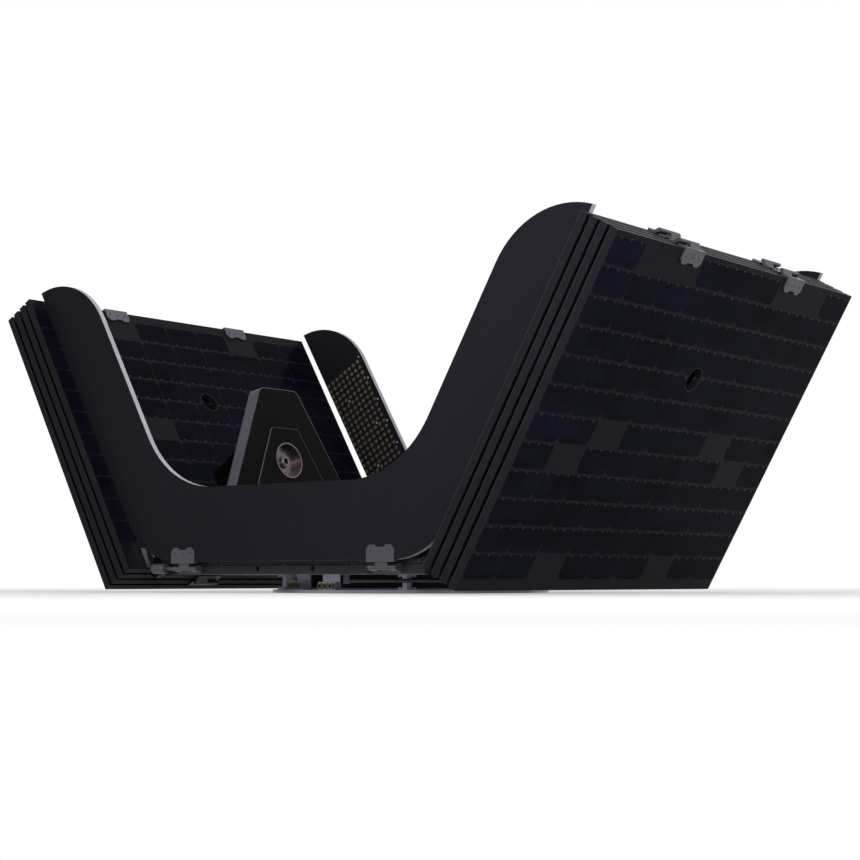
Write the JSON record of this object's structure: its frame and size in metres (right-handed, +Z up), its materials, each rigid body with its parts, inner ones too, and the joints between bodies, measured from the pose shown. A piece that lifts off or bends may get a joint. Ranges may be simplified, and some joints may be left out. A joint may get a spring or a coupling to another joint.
{
  "type": "small satellite",
  "caption": "Small satellite on a separation ring: flat deck, two leaning solar wings of folded panels in a V, and a U-shaped hinged antenna plate at each end.",
  "frame": {"origin": "centre of the separation ring's bolted face, on the floor that it stands on", "axes": "+X across the two wings, +Y along the panels towards the rear antenna, +Z up"},
  "size_m": [1.256, 0.6985, 0.5198],
  "materials": {
    "solar_panel": "dark glass cells on a composite panel",
    "antenna_skin": "satin dark composite",
    "deck_skin": "pale anodised honeycomb deck",
    "rail_metal": "dark satin",
    "ring_metal": "bright machined",
    "bracket_metal": "grey anodised",
    "pale_metal": "pale machined",
    "black_box": "black satin housing",
    "pylon_skin": "black satin",
    "hub_metal": "warm machined",
    "connector_metal": "gold-plated shell"
  },
  "bodies": {
    "bus": {"deck": "deck_skin", "front_rail": "rail_metal", "rear_rail": "rail_metal", "separation_ring": "ring_metal", "ring_posts": "pale_metal", "belly_box": "black_box", "belly_cover": "deck_skin", "ring_connectors": "connector_metal", "switch_boxes": "black_box", "feed_tube": "rail_metal", "avionics_module": "black_box", "right_pylon": "pylon_skin", "right_pylon_hub": "hub_metal", "right_root_brackets": "bracket_metal", "right_root_actuators": "pale_metal", "left_pylon": "pylon_skin", "left_pylon_hub": "hub_metal", "left_root_brackets": "bracket_metal", "left_root_actuators": "pale_metal", "front_rail_hinges": "bracket_metal", "rear_rail_hinges": "bracket_metal"},
    "right_panel_1": {"right_panel_1": "solar_panel", "right_panel_1_hinges": "bracket_metal"},
    "right_panel_2": {"right_panel_2": "solar_panel", "right_panel_2_hinges": "bracket_metal"},
    "right_panel_3": {"right_panel_3": "solar_panel", "right_panel_3_hinges": "bracket_metal"},
    "right_panel_4": {"right_panel_4": "solar_panel", "right_panel_4_hinges": "bracket_metal"},
    "left_panel_1": {"left_panel_1": "solar_panel", "left_panel_1_hinges": "bracket_metal"},
    "left_panel_2": {"left_panel_2": "solar_panel", "left_panel_2_hinges": "bracket_metal"},
    "left_panel_3": {"left_panel_3": "solar_panel", "left_panel_3_hinges": "bracket_metal"},
    "left_panel_4": {"left_panel_4": "solar_panel", "left_panel_4_hinges": "bracket_metal"},
    "front_antenna": {"front_antenna": "antenna_skin", "front_antenna_hinges": "bracket_metal"},
    "rear_antenna": {"rear_antenna": "antenna_skin", "rear_antenna_hinges": "bracket_metal"}
  },
  "joints": [
    {"name": "right_wing_root", "type": "hinge", "parent": "bus", "child": "right_panel_1", "pos_m": [0.28611, 0, 0.03494], "axis": [0, 1, 0], "range_deg": [0, 60]},
    {"name": "right_fold_12", "type": "hinge", "parent": "right_panel_1", "child": "right_panel_2", "pos_m": [0.58462, 0, 0.49837], "axis": [0, -1, 0], "range_deg": [0, 180]},
    {"name": "right_fold_23", "type": "hinge", "parent": "right_panel_2", "child": "right_panel_3", "pos_m": [0.32606, 0, 0.01534], "axis": [0, 1, 0], "range_deg": [0, 180]},
    {"name": "right_fold_34", "type": "hinge", "parent": "right_panel_3", "child": "right_panel_4", "pos_m": [0.6151, 0, 0.48077], "axis": [0, -1, 0], "range_deg": [0, 180]},
    {"name": "left_wing_root", "type": "hinge", "parent": "bus", "child": "left_panel_1", "pos_m": [-0.28611, 0, 0.03494], "axis": [0, -1, 0], "range_deg": [0, 60]},
    {"name": "left_fold_12", "type": "hinge", "parent": "left_panel_1", "child": "left_panel_2", "pos_m": [-0.58462, 0, 0.49837], "axis": [0, 1, 0], "range_deg": [0, 180]},
    {"name": "left_fold_23", "type": "hinge", "parent": "left_panel_2", "child": "left_panel_3", "pos_m": [-0.32606, 0, 0.01534], "axis": [0, -1, 0], "range_deg": [0, 180]},
    {"name": "left_fold_34", "type": "hinge", "parent": "left_panel_3", "child": "left_panel_4", "pos_m": [-0.6151, 0, 0.48077], "axis": [0, 1, 0], "range_deg": [0, 180]},
    {"name": "front_antenna_hinge", "type": "hinge", "parent": "bus", "child": "front_antenna", "pos_m": [0, -0.309, 0.038], "axis": [1, 0, 0], "range_deg": [0, 90]},
    {"name": "rear_antenna_hinge", "type": "hinge", "parent": "bus", "child": "rear_antenna", "pos_m": [0, 0.3505, 0.038], "axis": [-1, 0, 0], "range_deg": [0, 90]}
  ],
  "couplings": [
    {"joint": "right_fold_12", "follows": "right_wing_root", "ratio": 3},
    {"joint": "right_fold_23", "follows": "right_wing_root", "ratio": 3},
    {"joint": "right_fold_34", "follows": "right_wing_root", "ratio": 3},
    {"joint": "left_fold_12", "follows": "left_wing_root", "ratio": 3},
    {"joint": "left_fold_23", "follows": "left_wing_root", "ratio": 3},
    {"joint": "left_fold_34", "follows": "left_wing_root", "ratio": 3}
  ]
}
